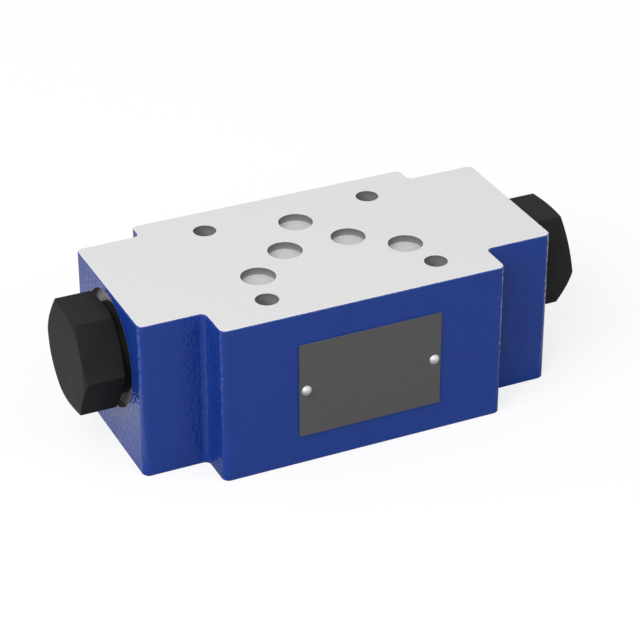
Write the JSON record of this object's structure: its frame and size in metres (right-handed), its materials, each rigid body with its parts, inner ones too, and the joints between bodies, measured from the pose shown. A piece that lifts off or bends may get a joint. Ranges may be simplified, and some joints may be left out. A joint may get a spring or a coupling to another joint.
{
  "type": "hydraulic lock valve",
  "caption": "Sandwich-plate double pilot-operated check valve: a crossed rectangular block with a flat porting face, hexagon screw plugs at both ends and a bare name plate.",
  "frame": {"origin": "centre of the 54 by 46 mm mounting pattern on the plate-side face", "axes": "+Z from the plate side to the valve side, +X along the valve axis towards the plug of side B, +Y away from the name plate"},
  "size_m": [0.159, 0.0713, 0.05],
  "materials": {
    "housing": "blue enamel on the cast sides, ground bare faces top and bottom",
    "plug": "blackened steel, satin",
    "seal": "matte",
    "bush": "hardened and ground",
    "poppet": "hardened and ground",
    "ball": "polished",
    "spring_plate": "turned",
    "spring": "drawn wire",
    "spool": "hardened and ground",
    "name_plate": "dark anodised, satin, bare",
    "plate_pin": "bright",
    "port_cap": "moulded, satin"
  },
  "bodies": {
    "housing": {"housing": "housing", "plug_a": "plug", "plug_b": "plug", "plug_seal_a": "seal", "plug_seal_b": "seal", "seat_bush_a": "bush", "seat_bush_b": "bush", "poppet_spring_a": "spring", "poppet_spring_b": "spring", "name_plate": "name_plate", "plate_pin_left": "plate_pin", "plate_pin_right": "plate_pin", "port_seal_p": "seal", "port_cap_p": "port_cap", "port_seal_a": "seal", "port_cap_a": "port_cap", "port_seal_b": "seal", "port_cap_b": "port_cap", "port_seal_t": "seal", "port_cap_t": "port_cap", "port_seal_tb": "seal", "port_cap_tb": "port_cap"},
    "spool": {"control_spool": "spool"},
    "poppet_a": {"poppet_a": "poppet"},
    "ball_a": {"decompression_ball_a": "ball", "spring_plate_a": "spring_plate"},
    "poppet_b": {"poppet_b": "poppet"},
    "ball_b": {"decompression_ball_b": "ball", "spring_plate_b": "spring_plate"}
  },
  "joints": [
    {"name": "spool_slide", "type": "slide", "parent": "housing", "child": "spool", "axis": [1, 0, 0], "range_m": [-0.00145, 0.00145]},
    {"name": "poppet_a_open", "type": "slide", "parent": "housing", "child": "poppet_a", "axis": [-1, 0, 0], "range_m": [0, 0.0035], "stiffness_N_per_m": 2500, "springref_m": -0.006, "deforming": ["poppet_spring_a"]},
    {"name": "ball_a_lift", "type": "slide", "parent": "poppet_a", "child": "ball_a", "axis": [-1, 0, 0], "range_m": [0, 0.001], "stiffness_N_per_m": 2500, "springref_m": -0.006},
    {"name": "poppet_b_open", "type": "slide", "parent": "housing", "child": "poppet_b", "axis": [1, 0, 0], "range_m": [0, 0.0035], "stiffness_N_per_m": 2500, "springref_m": -0.006, "deforming": ["poppet_spring_b"]},
    {"name": "ball_b_lift", "type": "slide", "parent": "poppet_b", "child": "ball_b", "axis": [1, 0, 0], "range_m": [0, 0.001], "stiffness_N_per_m": 2500, "springref_m": -0.006}
  ]
}
